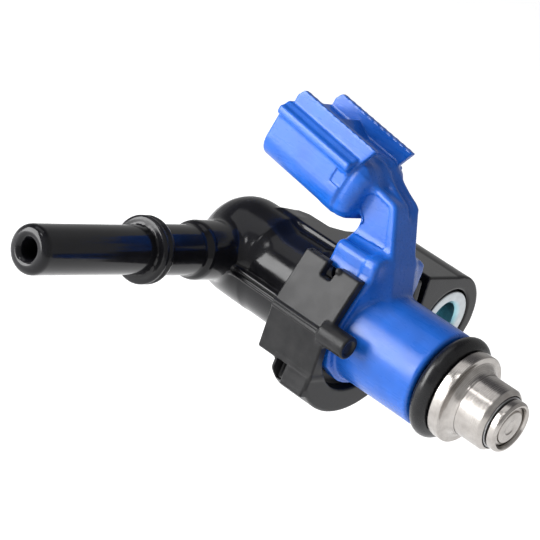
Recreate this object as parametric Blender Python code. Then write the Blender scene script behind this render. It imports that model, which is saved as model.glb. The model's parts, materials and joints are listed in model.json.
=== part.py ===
"""Electronic fuel injector held in a plastic fuel joint by a snap-on clip.

+X runs along the injector to its nozzle, +Y points to the mounting ear and +Z to the connector.
The origin is on the injector's axis, in the plane of the ear's mounting face.
Sizes below are in millimetres; MM turns them into metres where a mesh is made.
"""

from math import cos, pi, radians, sin

import bmesh
import bpy
from mathutils import Vector

MM = 0.001
ROUND = 32  # flats round an outer turned piece
FINE = 24  # flats round a small or inner one
FIT = 0.3  # gap left between two faces that touch on the real object

# Fuel joint: quick-connect spigot, elbow, injector socket
SPIGOT_X = -27.4
SPIGOT_R = 4.0
SPIGOT_BORE_R = 1.63
SPIGOT_TIP_Y = -55.7
BEAD_Y = -29.0
BEAD_R = 5.6
COLLAR_Y = -14.0
COLLAR_R = 5.0
ELBOW_END_X = -35.3
ELBOW_ROUND = 7.6
DOME_R = 8.5  # the elbow bulges a little above the socket
DOME_Z = 0.7
SOCKET_R = 8.2
SOCKET_BORE_R = 6.4
SOCKET_FLANGE_R = 9.2
SOCKET_FLANGE_X = -9.0
SOCKET_MOUTH_X = -5.4
RAIL_Y = 9.9  # how far the side rail stands out
RAIL_Z = (-1.6, -0.1)
RAIL_BACK_X = -25.5

# Mounting ear and its steel bush
EAR_Y = 23.4
EAR_Z = 1.0
EAR_R = 8.7
EAR_BACK_X = -24.7
BOSS_BACK_X = -15.0
ARM_TOP_Z = 9.6
ARM_LOW_Z = -5.5
BUSH_R = 5.7
BUSH_BORE_R = 3.3

# Retaining clip
CLIP_BACK_X = -10.9
CLIP_FRONT_X = 0.9
CLIP_WALL = 1.8
CLIP_HOOP_R = 15.3
CLIP_HOOP_BACK_X = -7.0
CLIP_HOOP_BORE_R = 10.9
CLIP_WEB_R = 8.9
PIN_R = 2.0
PIN_AT = (-11.1, -0.3)  # Y and Z
PIN_END_X = 5.4

# Injector: blue overmoulding, neck and connector
BODY_R = 8.5
BODY_END_X = 16.8
REAR_FLANGE_X = (-4.9, -2.9)
FRONT_FLANGE_X = (-0.9, 1.2)
NECK_HALF = 3.5
CONNECTOR_TILT = radians(8.2)
CONNECTOR_REAR = (-10.0, 20.1)  # X and Z of the shell's axis at its back wall
CONNECTOR_LENGTH = 18.5
CONNECTOR_HALF_W = 7.0
CONNECTOR_HALF_H = 5.3
TERMINAL_PITCH = 4.4
TERMINAL_END = 12.0

# Injector: metal parts
CORE_R = 3.6
CORE_BORE_R = 1.9
CORE_END_X = 6.0
LIFT = 0.08  # travel of the valve
ARMATURE_GAP = 0.1
BALL_R = 1.9
BALL_X = 27.6
BARREL_R = 5.5
BARREL_END_X = 29.6
TIP_R = 4.5
TIP_END_X = 31.6
O_RING_R = 9.2


def material(name, colour, roughness, metallic=0.0):
    made = bpy.data.materials.new(name)
    made.use_nodes = True
    shader = made.node_tree.nodes["Principled BSDF"]
    shader.inputs["Base Color"].default_value = (*colour, 1.0)
    shader.inputs["Roughness"].default_value = roughness
    shader.inputs["Metallic"].default_value = metallic
    made.diffuse_color = (*colour, 1.0)
    return made


def add(name, mesh, finish=None):
    """Puts a bmesh, drawn in millimetres, into the scene as a closed object facing out."""
    bmesh.ops.scale(mesh, vec=(MM, MM, MM), verts=mesh.verts)
    bmesh.ops.recalc_face_normals(mesh, faces=mesh.faces)
    data = bpy.data.meshes.new(name)
    mesh.to_mesh(data)
    mesh.free()
    obj = bpy.data.objects.new(name, data)
    bpy.context.scene.collection.objects.link(obj)
    if finish:
        data.materials.append(finish)
        data.shade_smooth()
        data.set_sharp_from_angle(angle=radians(32))
    return obj


def combine(obj, tool, operation):
    """Joins or cuts obj with tool by an exact Boolean, then drops the tool."""
    modifier = obj.modifiers.new(operation, "BOOLEAN")
    modifier.operation = operation
    modifier.object = tool
    modifier.solver = "EXACT"
    graph = bpy.context.evaluated_depsgraph_get()
    data = bpy.data.meshes.new_from_object(obj.evaluated_get(graph))
    obj.modifiers.clear()
    obj.data = data
    data.shade_smooth()
    data.set_sharp_from_angle(angle=radians(32))
    bpy.data.objects.remove(tool)
    return obj


def join(obj, *tools):
    for tool in tools:
        combine(obj, tool, "UNION")
    return obj


def cut(obj, *tools):
    for tool in tools:
        combine(obj, tool, "DIFFERENCE")
    return obj


def arc(centre, radius, start, end, steps):
    """Points along an arc, angles in degrees."""
    angles = [radians(start + (end - start) * i / steps) for i in range(steps + 1)]
    return [(centre[0] + radius * cos(a), centre[1] + radius * sin(a)) for a in angles]


def turned(name, outline, finish=None, flats=ROUND, axis="X", centre=(0.0, 0.0, 0.0)):
    """Turns a closed outline of (station, radius) points about an axis; radius 0 is a pole."""
    mesh = bmesh.new()
    rings = []
    for station, radius in outline:
        count = flats if radius > 1e-6 else 1
        angles = [2 * pi * (i + 0.5) / flats for i in range(count)]
        spots = [(station, radius * cos(a), radius * sin(a)) for a in angles]
        if axis == "Y":
            spots = [(-y, x, z) for x, y, z in spots]
        rings.append([mesh.verts.new(Vector(spot) + Vector(centre)) for spot in spots])
    closed = outline[0][1] > 1e-6 or outline[-1][1] > 1e-6
    pairs = list(zip(rings, rings[1:])) + ([(rings[-1], rings[0])] if closed else [])
    for first, second in pairs:
        if len(first) == len(second) == 1:
            continue
        for i in range(flats):
            j = (i + 1) % flats
            corners = [first[i % len(first)], first[j % len(first)]]
            corners += [second[j % len(second)], second[i % len(second)]]
            mesh.faces.new(list(dict.fromkeys(corners)))
    return add(name, mesh, finish)


def tube(name, start, end, inner, outer, finish, flats=FINE):
    outline = [(start, outer), (end, outer), (end, inner), (start, inner)]
    return turned(name, outline, finish, flats)


def rod(start, end, radius, axis="X", centre=(0.0, 0.0, 0.0), flats=FINE):
    """A plain round helper for a Boolean."""
    outline = [(start, 0.0), (start, radius), (end, radius), (end, 0.0)]
    return turned("rod", outline, None, flats, axis, centre)


def prism(name, outline, low, high, place, finish=None):
    """Extrudes an outline; place(u, v, depth) gives each corner's X, Y and Z."""
    mesh = bmesh.new()
    ends = [[mesh.verts.new(place(u, v, d)) for u, v in outline] for d in (low, high)]
    for end in ends:
        mesh.faces.new(end)
    for i in range(len(outline)):
        j = (i + 1) % len(outline)
        mesh.faces.new((ends[0][i], ends[0][j], ends[1][j], ends[1][i]))
    return add(name, mesh, finish)


def along_x(u, v, depth):
    return (depth, u, v)


def along_y(u, v, depth):
    return (u, depth, v)


def along_z(u, v, depth):
    return (u, v, depth)


def along_connector(u, v, depth):
    """Across, up and along the connector, whose axis tilts up towards its mouth."""
    x = CONNECTOR_REAR[0] - depth * cos(CONNECTOR_TILT) + v * sin(CONNECTOR_TILT)
    z = CONNECTOR_REAR[1] + depth * sin(CONNECTOR_TILT) + v * cos(CONNECTOR_TILT)
    return (x, u, z)


def rectangle(u0, u1, v0, v1, corner=0.0, steps=3):
    if corner == 0.0:
        return [(u0, v0), (u1, v0), (u1, v1), (u0, v1)]
    points = []
    spots = ((u1, v0, -90), (u1, v1, 0), (u0, v1, 90), (u0, v0, 180))
    for u, v, start in spots:
        centre = (u - corner if u == u1 else u + corner, v - corner if v == v1 else v + corner)
        points += arc(centre, corner, start, start + 90, steps)
    return points


def mirrored(half):
    """A closed outline from its right half, listed from the bottom to the top."""
    return half + [(-u, v) for u, v in reversed(half) if abs(u) > 1e-6]


# Fuel joint


def socket_flange(start):
    """Outline from a station on the socket's axis over its flange to its mouth."""
    back = SOCKET_FLANGE_X
    outline = [(start, SOCKET_R + 0.2), (back, SOCKET_R + 0.2), (back, SOCKET_FLANGE_R)]
    return outline + [(SOCKET_MOUTH_X, SOCKET_FLANGE_R), (SOCKET_MOUTH_X, 0.0)]


def fuel_joint(finish):
    end = ELBOW_END_X + DOME_Z
    elbow_at = (end + ELBOW_ROUND, SOCKET_R - ELBOW_ROUND)
    outline = [(end, 0.0), *arc(elbow_at, ELBOW_ROUND, 180, 90, 7)]
    joint = turned("fuel_joint", outline + socket_flange(-10.2), finish)
    dome_at = (ELBOW_END_X + ELBOW_ROUND, DOME_R - ELBOW_ROUND)
    dome = [(ELBOW_END_X, 0.0), *arc(dome_at, ELBOW_ROUND, 180, 90, 7)]
    dome += [(SPIGOT_X + 6.0, DOME_R), (SPIGOT_X + 8.0, SOCKET_R - 1.0), (SPIGOT_X + 8.0, 0.0)]
    join(joint, turned("dome", dome, None, ROUND, "X", (0.0, 0.0, DOME_Z)))

    edge = 1.3
    tip = arc((SPIGOT_TIP_Y + edge, SPIGOT_R - edge), edge, 180, 90, 3)
    spigot = [(SPIGOT_TIP_Y, 0.0), *tip]
    spigot += [(BEAD_Y, SPIGOT_R), (BEAD_Y, BEAD_R), (BEAD_Y + 2.2, BEAD_R)]
    spigot += [(BEAD_Y + 3.2, SPIGOT_R + 0.2), (COLLAR_Y - 2.6, SPIGOT_R + 0.2)]
    spigot += [(COLLAR_Y - 1.2, COLLAR_R), (0.0, COLLAR_R), (0.0, 0.0)]
    join(joint, turned("spigot", spigot, None, ROUND, "Y", (SPIGOT_X, 0.0, 0.0)))

    # The ear: a long round boss, and a deep arm that carries it on the socket
    join(joint, rod(BOSS_BACK_X, 0.0, EAR_R, "X", (0.0, EAR_Y, EAR_Z), ROUND))
    arm = [(0.0, 0.0), (0.0, EAR_Y), (BOSS_BACK_X - 0.5, EAR_Y), (-16.8, 8.9)]
    arm += [(-18.2, 6.2), (-22.5, 6.1), (-24.2, 4.6), (EAR_BACK_X, 0.0)]
    join(joint, prism("arm", arm, ARM_LOW_Z, ARM_TOP_Z, along_z))
    # Room in front of the socket for the clip's far leg and the injector
    room_back = CLIP_BACK_X - FIT
    clip_room = [(-14.0, -20.0), (14.4, -20.0), (14.6, 0.0), (12.7, 9.1), (12.7, 12.0)]
    clip_room += [(-14.0, 12.0)]
    cut(joint, prism("room", clip_room, room_back, 6.0, along_x))
    root = room_back - 0.5  # the flange is turned again, because the room took it away
    join(joint, turned("flange", [(root, 0.0), *socket_flange(root)]))
    # Lightening pocket in the arm, open at the back
    pocket = rectangle(10.4, 15.0, ARM_LOW_Z + 1.8, ARM_TOP_Z - 2.4, 1.0, 2)
    cut(joint, prism("pocket", pocket, EAR_BACK_X - 1.0, -13.0, along_x))
    # Rail that guides the clip's near leg
    rail = rectangle(-RAIL_Y, 0.0, *RAIL_Z)
    join(joint, prism("rail", rail, RAIL_BACK_X, room_back - 0.2, along_x))

    # Bores: fuel passage, chamber, socket, bush
    cut(joint, rod(SPIGOT_TIP_Y - 1.0, 0.0, SPIGOT_BORE_R, "Y", (SPIGOT_X, 0.0, 0.0)))
    chamber_r = 3.4
    chamber = [(-31.0, 0.0), (-29.0, chamber_r), (-25.6, chamber_r)]
    chamber += [(-25.0, SOCKET_BORE_R), (0.0, SOCKET_BORE_R), (0.0, 0.0)]
    cut(joint, turned("chamber", chamber))
    hole_back = BOSS_BACK_X - 12.0
    return cut(joint, rod(hole_back, 1.0, BUSH_R + FIT, "X", (0.0, EAR_Y, EAR_Z)))


def mount_bush(finish):
    back = BOSS_BACK_X - 0.2
    outline = [(back, BUSH_R), (0.0, BUSH_R), (0.0, BUSH_BORE_R), (back, BUSH_BORE_R)]
    return turned("mount_bush", outline, finish, FINE, "X", (0.0, EAR_Y, EAR_Z))


# Retaining clip


def clip_leg(inset):
    """Corners of the leg on the +Y side, moved in by the wall, bottom to top."""
    return [(11.0 - inset, -8.8), (12.3 - inset, -0.5), (9.2 - inset, 9.4)]


def clip_web(start, end, foot=()):
    """A plate across the clip, open upwards, that drops behind a flange."""
    plate = [(-10.0, -8.7), *foot, (10.0, -8.7), (11.0, -0.5), (10.4, 2.5), (-10.4, 2.5)]
    web = prism("web", plate + [(-11.0, -0.5)], start, end, along_x)
    slot = arc((0.0, 0.0), CLIP_WEB_R, 180, 360, 12)
    slot += [(CLIP_WEB_R, 12.0), (-CLIP_WEB_R, 12.0)]
    return cut(web, prism("slot", slot, start - 1, end + 1, along_x))


def retaining_clip(finish):
    low, high = CLIP_BACK_X, CLIP_FRONT_X
    clip = prism("retaining_clip", mirrored(clip_leg(0.0)), low, high, along_x, finish)
    # The hoop under the injector joins the two legs
    side = clip_leg(0.0)[0][0]
    hoop = rod(CLIP_HOOP_BACK_X, high, CLIP_HOOP_R, flats=48)
    keep = prism("keep", rectangle(-side, side, -17.0, -8.0), low, high + 1, along_x)
    join(clip, combine(hoop, keep, "INTERSECT"))
    inner = clip_leg(CLIP_WALL)
    floor = arc((0.0, 0.0), CLIP_HOOP_BORE_R, -90, -30, 6)
    throat = mirrored(floor + inner[1:2] + [(inner[2][0] - 0.3, inner[2][1] + 0.9)])
    cut(clip, prism("throat", throat, low - 1, high + 1, along_x))
    foot = rectangle(-9.2, 9.2, -9.5, -6.0)
    cut(clip, prism("under", foot, low - 1, CLIP_HOOP_BACK_X, along_x))
    # One web drops behind the joint's flange and one into the injector's groove
    join(clip, clip_web(CLIP_BACK_X, SOCKET_FLANGE_X - FIT))
    groove = (REAR_FLANGE_X[1] + FIT, FRONT_FLANGE_X[0] - FIT)
    join(clip, clip_web(*groove, foot=((-8.0, -11.6), (8.0, -11.6))))
    # Notch in the near leg's top and the latch recess at its foot
    notch = rectangle(-5.2, -2.9, 5.2, 12.0)
    cut(clip, prism("notch", notch, -14.0, -5.0, along_y))
    recess = rectangle(-6.4, -4.2, -12.0, -8.6)
    cut(clip, prism("recess", recess, -14.0, -9.4, along_y))
    # Round locating pin on the front of the near leg, clear of the injector's flange
    pin = rod(CLIP_FRONT_X - 0.4, PIN_END_X, PIN_R, "X", (0.0, *PIN_AT), 16)
    clear = rectangle(-10.15, -8.0, -2.9, 2.3)
    return join(clip, cut(pin, prism("clear", clear, 0.0, FRONT_FLANGE_X[1] + FIT, along_x)))


# Injector: blue overmoulding with neck and connector


def connector_section():
    corner = 3.6
    half_w, half_h = CONNECTOR_HALF_W, CONNECTOR_HALF_H
    right = [(0.0, -half_h)]
    right += arc((half_w - corner, corner - half_h), corner, -90, 0, 5)
    right += [(half_w, 2.6), (half_w + 1.0, 3.0), (half_w + 1.0, 4.2), (half_w - 0.2, 4.6)]
    right += [(half_w - 0.9, half_h), (0.0, half_h)]
    return mirrored(right)


def injector_housing(finish):
    back, front = REAR_FLANGE_X
    outline = [(-18.1, 0.0), (-18.1, 6.1), (back, 6.1), (back, SOCKET_FLANGE_R)]
    outline += [(front, SOCKET_FLANGE_R), (front, BODY_R), (BODY_END_X - 0.5, BODY_R)]
    outline += [(BODY_END_X, BODY_R - 0.5), (BODY_END_X, 0.0)]
    housing = turned("injector_housing", outline, finish)
    # The front flange fills the clip's mouth: round below, narrowing upwards
    flange = arc((0.0, 0.0), 9.5, -90, -55, 3)
    flange += [(8.0, -6.3), (9.2, -3.9), (9.7, -1.0), (9.7, 0.9), (6.9, 9.9), (6.3, 10.6)]
    join(housing, prism("flange", mirrored(flange), *FRONT_FLANGE_X, along_x))

    neck = [(3.2, 0.0), (3.9, 7.6), (1.2, 13.6), (-2.1, 21.5), (-7.9, 23.6), (-10.6, 23.9)]
    neck += [(-10.6, 16.4), (-7.7, 16.4), (-7.7, 13.2), (-9.6, 10.9), (-5.0, 9.7), (-4.6, 9.2)]
    neck += [(-4.6, 0.0)]
    join(housing, prism("neck", neck, -NECK_HALF, NECK_HALF, along_y))
    flare = arc((-2.6, 6.0), 5.6, 0, 90, 4)
    flare += [(-4.8, 11.6), (-4.8, 6.0)]
    join(housing, prism("flare", flare, -5.2, 5.2, along_y))
    shell = prism("shell", connector_section(), -1.0, CONNECTOR_LENGTH, along_connector)
    join(housing, shell)
    for side in (-1, 1):
        fin = rectangle(side * 5.4 - 0.5, side * 5.4 + 0.5, 4.6, CONNECTOR_HALF_H + 2.9)
        join(housing, prism("fin", fin, 0.6, CONNECTOR_LENGTH - 0.8, along_connector))

    mouth = rectangle(-5.5, 5.5, -4.1, 3.9, 1.2, 2)
    cut(housing, prism("mouth", mouth, 4.0, CONNECTOR_LENGTH + 1.0, along_connector))
    for side in (-1, 1):
        recess = [(-0.4, 13.6), (-3.0, 20.2), (-6.6, 20.8), (-6.6, 13.2)]
        panel = prism("panel", recess, side * (NECK_HALF - 0.7), side * 6.0, along_y)
        cut(housing, panel)
        middle = side * TERMINAL_PITCH / 2
        slot = rectangle(middle - 0.95, middle + 0.95, -0.7, 0.7)
        cut(housing, prism("pin_slot", slot, 1.0, 5.0, along_connector))
    # Stepped bore for the core, the coil and the magnetic case
    bore = [(-19.0, 0.0), (-19.0, CORE_R + 0.2), (-3.0, CORE_R + 0.2), (-3.0, 7.3)]
    bore += [(BODY_END_X + 1.0, 7.3), (BODY_END_X + 1.0, 0.0)]
    return cut(housing, turned("bore", bore, None, ROUND))


def terminal(name, side, finish):
    middle = side * TERMINAL_PITCH / 2
    blade = rectangle(middle - 0.6, middle + 0.6, -0.35, 0.35)
    return prism(name, blade, 1.4, TERMINAL_END, along_connector, finish)


# Injector: seals and metal parts


def o_ring(name, start, end, inner, outer, finish):
    half_x, half_r = (end - start) / 2, (outer - inner) / 2
    middle = ((start + end) / 2, (outer + inner) / 2)
    steps = 10
    angles = [2 * pi * i / steps for i in range(steps)]
    outline = [(middle[0] + half_x * cos(a), middle[1] + half_r * sin(a)) for a in angles]
    return turned(name, outline, finish)


def inlet_core(finish):
    outline = [(-24.4, 5.4), (-23.6, 5.7), (-23.3, 5.7), (-23.3, CORE_R)]
    outline += [(CORE_END_X, CORE_R), (CORE_END_X, CORE_BORE_R), (-13.0, CORE_BORE_R)]
    outline += [(-14.0, 2.9), (-24.4, 2.9)]
    return turned("inlet_core", outline, finish, FINE)


def filter_screen(finish):
    outline = [(-22.6, 2.2), (-15.2, 1.5), (-14.8, 0.0), (-15.1, 0.0)]
    outline += [(-15.5, 1.2), (-22.6, 1.9)]
    return turned("filter_screen", outline, finish, 16)


def return_spring(finish):
    """A closed tube along a helix: the last turn at each end is flat on its seat."""
    turns, per_turn, sides = 6, 12, 6
    start, end, coil_r, wire_r = 1.1, 7.2, 1.5, 0.2
    steps = turns * per_turn
    mesh = bmesh.new()
    rings = []
    for i in range(steps + 1):
        turn = 2 * pi * i / per_turn
        x = start + wire_r + (end - start - 2 * wire_r) * i / steps
        out = Vector((0.0, cos(turn), sin(turn)))
        ring = []
        for k in range(sides):
            a = 2 * pi * k / sides
            spot = out * (coil_r + wire_r * cos(a)) + Vector((x + wire_r * sin(a), 0.0, 0.0))
            ring.append(mesh.verts.new(spot))
        rings.append(ring)
    for first, second in zip(rings, rings[1:]):
        for k in range(sides):
            j = (k + 1) % sides
            mesh.faces.new((first[k], first[j], second[j], second[k]))
    mesh.faces.new(rings[0])
    mesh.faces.new(rings[-1])
    return add("return_spring", mesh, finish)


def armature(finish):
    start = CORE_END_X + ARMATURE_GAP
    outline = [(start, CORE_R - 0.05), (12.1, CORE_R - 0.05), (12.1, 1.45)]
    outline += [(7.5, 1.45), (7.5, 1.85), (start, 1.85)]
    return turned("armature", outline, finish, FINE)


def valve_ball(finish):
    outline = arc((BALL_X, 0.0), BALL_R, 180, 0, 10)
    outline[0] = (BALL_X - BALL_R, 0.0)
    outline[-1] = (BALL_X + BALL_R, 0.0)
    return turned("valve_ball", outline, finish, FINE)


def nozzle_body(finish):
    outline = [(12.7, 6.6), (14.8, 6.6), (14.8, BARREL_R), (BARREL_END_X - 0.6, BARREL_R)]
    outline += [(BARREL_END_X, BARREL_R - 0.6), (BARREL_END_X, 4.75), (25.2, 4.75)]
    outline += [(25.2, 2.6), (15.0, 2.6), (14.4, 4.35), (12.7, 4.35)]
    return turned("nozzle_body", outline, finish)


def valve_seat(finish):
    end = BARREL_END_X + 0.2
    outline = [(25.5, 4.6), (end, 4.6), (end, 0.7), (BALL_X + 1.95, 0.85)]
    outline += [(BALL_X + 0.6, 2.08), (25.5, 2.08)]
    return turned("valve_seat", outline, finish)


def tip_ring(finish):
    back, end = BARREL_END_X + 0.5, TIP_END_X
    outline = [(back, TIP_R), (end - 0.3, TIP_R), (end, TIP_R - 0.3), (end, 3.7)]
    outline += [(end - 0.7, 3.6), (end - 1.0, 3.6), (end - 1.0, 3.0), (back, 3.0)]
    return turned("tip_ring", outline, finish)


def orifice_plate(finish):
    back, front = TIP_END_X - 0.9, TIP_END_X - 0.3
    outline = [(back, 0.0), (back, 3.4), (back + 0.2, 3.4), (back + 0.2, 2.9)]
    outline += [(front, 2.9), (front, 0.0)]
    return turned("orifice_plate", outline, finish)


def retaining_ring(finish):
    outline = [(20.7, 7.8), (22.7, 7.8), (22.7, 6.8), (23.3, 6.1), (24.0, 5.8), (20.7, 5.8)]
    return turned("retaining_ring", outline, finish)


def build():
    for obj in list(bpy.data.objects):
        bpy.data.objects.remove(obj)
    black = material("black_nylon", (0.02, 0.02, 0.022), 0.25)
    grey = material("clip_plastic", (0.07, 0.07, 0.075), 0.45)
    blue = material("blue_nylon", (0.02, 0.17, 0.72), 0.32)
    rubber = material("rubber", (0.015, 0.015, 0.015), 0.4)
    zinc = material("zinc_steel", (0.62, 0.66, 0.68), 0.3, 1.0)
    stainless = material("stainless", (0.68, 0.67, 0.65), 0.24, 1.0)
    magnetic = material("magnetic_steel", (0.45, 0.45, 0.46), 0.35, 1.0)
    bright = material("ball_steel", (0.78, 0.78, 0.78), 0.08, 1.0)
    tin = material("tinned_brass", (0.75, 0.72, 0.62), 0.25, 1.0)
    brass = material("brass", (0.72, 0.52, 0.24), 0.3, 1.0)
    copper = material("copper", (0.75, 0.32, 0.15), 0.3, 1.0)
    bobbin = material("bobbin_nylon", (0.55, 0.52, 0.42), 0.5)

    fuel_joint(black)
    mount_bush(zinc)
    retaining_clip(grey)
    injector_housing(blue)
    terminal("terminal_left", -1, tin)
    terminal("terminal_right", 1, tin)
    o_ring("upper_o_ring", -22.9, -20.5, CORE_R + 0.15, 6.25, rubber)
    tube("backup_ring", -20.1, -18.4, CORE_R + 0.2, 6.2, bobbin)
    inlet_core(magnetic)
    tube("filter_frame", -24.2, -22.9, 1.9, 2.7, brass)
    filter_screen(stainless)
    tube("adjusting_sleeve", -8.0, 0.8, 1.0, 1.7, stainless, 16)
    return_spring(stainless)
    tube("coil_bobbin_tube", -0.4, 11.9, 4.35, 4.8, bobbin)
    tube("coil_winding", 0.6, 10.9, 5.0, 6.1, copper)
    tube("magnet_case", -2.6, 12.2, 6.5, 7.0, magnetic, ROUND)
    tube("isolating_sleeve", 2.0, 14.0, 3.85, 4.15, stainless)
    armature(magnetic)
    tube("valve_needle", 9.0, 25.5, 0.8, 1.25, stainless, 16)
    valve_ball(bright)
    nozzle_body(stainless)
    valve_seat(magnetic)
    orifice_plate(stainless)
    tip_ring(stainless)
    o_ring("lower_o_ring", 17.1, 20.4, 5.7, O_RING_R, rubber)
    retaining_ring(stainless)


build()
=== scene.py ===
# %% [markdown]
# # A fuel injector in its moulded fuel joint
#
# This lesson builds the looks of one small engine part: a blue electronic injector, pushed
# into a glossy black nylon joint and held there by a grey snap-on clip. The engineering
# solids are loaded first and never move. Every finer piece is built round them, in the same
# place and at the same size, so the two can be laid over each other at any time.

# %% Load the fixed frame
import json
from math import cos, pi, radians, sin, tan

import bmesh
import bpy
import numpy as np
from mathutils import Matrix, Vector


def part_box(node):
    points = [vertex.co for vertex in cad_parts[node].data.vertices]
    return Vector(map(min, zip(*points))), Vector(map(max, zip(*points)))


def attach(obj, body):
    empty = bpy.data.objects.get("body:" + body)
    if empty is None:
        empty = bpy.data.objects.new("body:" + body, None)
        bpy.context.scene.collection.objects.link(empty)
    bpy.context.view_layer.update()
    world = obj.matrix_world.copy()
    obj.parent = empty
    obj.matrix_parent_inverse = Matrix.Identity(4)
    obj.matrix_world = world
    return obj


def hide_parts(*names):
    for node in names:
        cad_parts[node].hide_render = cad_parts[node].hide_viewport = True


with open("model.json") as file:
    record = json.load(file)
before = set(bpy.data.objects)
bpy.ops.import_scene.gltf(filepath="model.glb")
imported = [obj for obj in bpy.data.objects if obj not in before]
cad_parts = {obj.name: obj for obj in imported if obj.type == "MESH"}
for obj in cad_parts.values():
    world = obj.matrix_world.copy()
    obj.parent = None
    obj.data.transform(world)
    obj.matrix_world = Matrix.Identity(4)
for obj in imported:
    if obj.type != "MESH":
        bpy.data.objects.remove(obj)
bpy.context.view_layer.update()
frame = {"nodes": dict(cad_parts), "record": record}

# %% [markdown]
# ## Measures
#
# All shapes below are drawn in millimetres, because that is how a toolmaker reads such a
# part, and they turn into metres only when a mesh is made. X runs along the injector to its
# nozzle, Y to the mounting ear, Z up to the connector. The solids give the sizes that matter.

# %% Sizes taken from the loaded solids
MM = 0.001


def box_mm(node):
    low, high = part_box(node)
    return np.array(low) / MM, np.array(high) / MM


joint_low, joint_high = box_mm("fuel_joint")
bush_low, bush_high = box_mm("mount_bush")
SPIGOT_X = -27.4
SPIGOT_TIP_Y = joint_low[1]
EAR_Y, EAR_Z = ((bush_low + bush_high) / 2)[1:]
print("joint", joint_low.round(1), joint_high.round(1), "ear at", EAR_Y.round(2), EAR_Z.round(2))

# %% [markdown]
# ## How a moulded shape is made here
#
# Moulded plastic has no sharp edges: every outside corner is rounded and every inside corner
# is filled a little, because the melt must flow and the tool must wear well. Bevels on a
# Boolean mesh break on such shapes. A distance field doesn't: it is a function that says, at
# any point, how far the surface is, negative inside. Two fields join by taking the smaller,
# and a small change to "smaller" gives a soft fillet. A mesh is then drawn where it is zero.

# %% Distance to a flat outline
def corner_rounded(outline, radius, steps=3):
    """A closed outline with each corner replaced by a short curve; points on the axis stay."""
    points = []
    for i, here in enumerate(outline):
        here = np.array(here, float)
        if here[1] == 0.0 and radius > 0 and outline_touches_axis(outline):
            points.append(tuple(here))
            continue
        before, after = np.array(outline[i - 1]), np.array(outline[(i + 1) % len(outline)])
        reach = [min(radius, 0.45 * np.linalg.norm(end - here)) for end in (before, after)]
        first, last = (
            here + (end - here) / np.linalg.norm(end - here) * far
            for end, far in zip((before, after), reach)
        )
        for t in np.linspace(0.0, 1.0, steps + 1):
            points.append(tuple((1 - t) ** 2 * first + 2 * t * (1 - t) * here + t * t * last))
    return points


def outline_touches_axis(outline):
    """True for half an outline that is open along the axis."""
    return outline[0][1] == 0.0 and outline[-1][1] == 0.0


def edge_distance(outline, u, v):
    """Distance to a closed outline, negative inside it."""
    nearest = np.full(u.shape, 1e9)
    sign = np.ones(u.shape)
    for (ax, ay), (bx, by) in zip(outline, outline[1:] + outline[:1]):
        ex, ey = bx - ax, by - ay
        wx, wy = u - ax, v - ay
        along = np.clip((wx * ex + wy * ey) / (ex * ex + ey * ey), 0.0, 1.0)
        nearest = np.minimum(nearest, (wx - ex * along) ** 2 + (wy - ey * along) ** 2)
        above, below, left = v >= ay, v < by, ex * wy > ey * wx
        flip = (above & below & left) | ~(above | below | left)
        sign = np.where(flip, -sign, sign)
    return sign * np.sqrt(nearest)


square = edge_distance([(0, 0), (2, 0), (2, 2), (0, 2)], np.array([1.0, 3.0]), np.array([1.0, 1.0]))
print("middle and one beside a 2 mm square:", square)

# %% [markdown]
# ## Fields for a plate and for a turned shape
#
# Two builders cover nearly everything on this part. A plate is an outline given a thickness,
# with its rims rounded. A turned shape is an outline of stations and radii swept about an
# axis: as a field it needs only the distance from the axis, so it stays perfectly round.

# %% Plates, turned shapes and soft joins
def plate(flat, depth, low, high, rim=0.3):
    """Gives a flat distance a thickness from low to high with rounded rims."""
    across = flat + rim
    along = np.maximum(low - depth, depth - high) + rim
    outside = np.hypot(np.maximum(across, 0.0), np.maximum(along, 0.0))
    return outside + np.minimum(np.maximum(across, along), 0.0) - rim


def turned(outline, station, radius):
    """Turns an outline of (station, radius); one that touches the axis is mirrored over it."""
    if outline_touches_axis(outline):
        outline = outline + [(s, -r) for s, r in reversed(outline[1:-1])]
    return edge_distance(outline, station, radius)


def blend(a, b, soft=0.5):
    """Joins two fields with a fillet."""
    near = np.maximum(soft - np.abs(a - b), 0.0) / soft
    return np.minimum(a, b) - near * near * soft / 4


def cut_out(a, b, soft=0.3):
    """Takes b away from a, rounding the edge that is left."""
    return -blend(-a, b, soft)


def both(a, b, soft=0.3):
    """Keeps what lies in a and in b."""
    return -blend(-a, -b, soft)


def box_outline(u0, u1, v0, v1):
    """A rectangle's four corners."""
    return [(u0, v0), (u1, v0), (u1, v1), (u0, v1)]


def arc(centre, radius, start, end, steps):
    """Points along an arc, angles in degrees."""
    turn = [radians(start + (end - start) * i / steps) for i in range(steps + 1)]
    return [(centre[0] + radius * cos(a), centre[1] + radius * sin(a)) for a in turn]


def mirrored(half):
    """A closed outline from its right half, listed from the bottom to the top."""
    return half + [(-u, v) for u, v in reversed(half) if abs(u) > 1e-6]


print("a 0.5 mm fillet fills", -blend(np.zeros(1), np.zeros(1), 0.5)[0], "mm where two faces meet")

# %% [markdown]
# ## From a field to a mesh
#
# The net puts one point in each small cell that the surface crosses, and joins the points of
# four cells round every crossed edge into a quad. That keeps the count low and the faces
# even. The points are then relaxed, so the quads run smooth, and pushed back onto the true
# surface along the field's slope. Only cells near the surface are worked out, in blocks of
# eight, which makes it quick enough to run each time.

# %% Sample the field near its surface
BLOCK = 8


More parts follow.
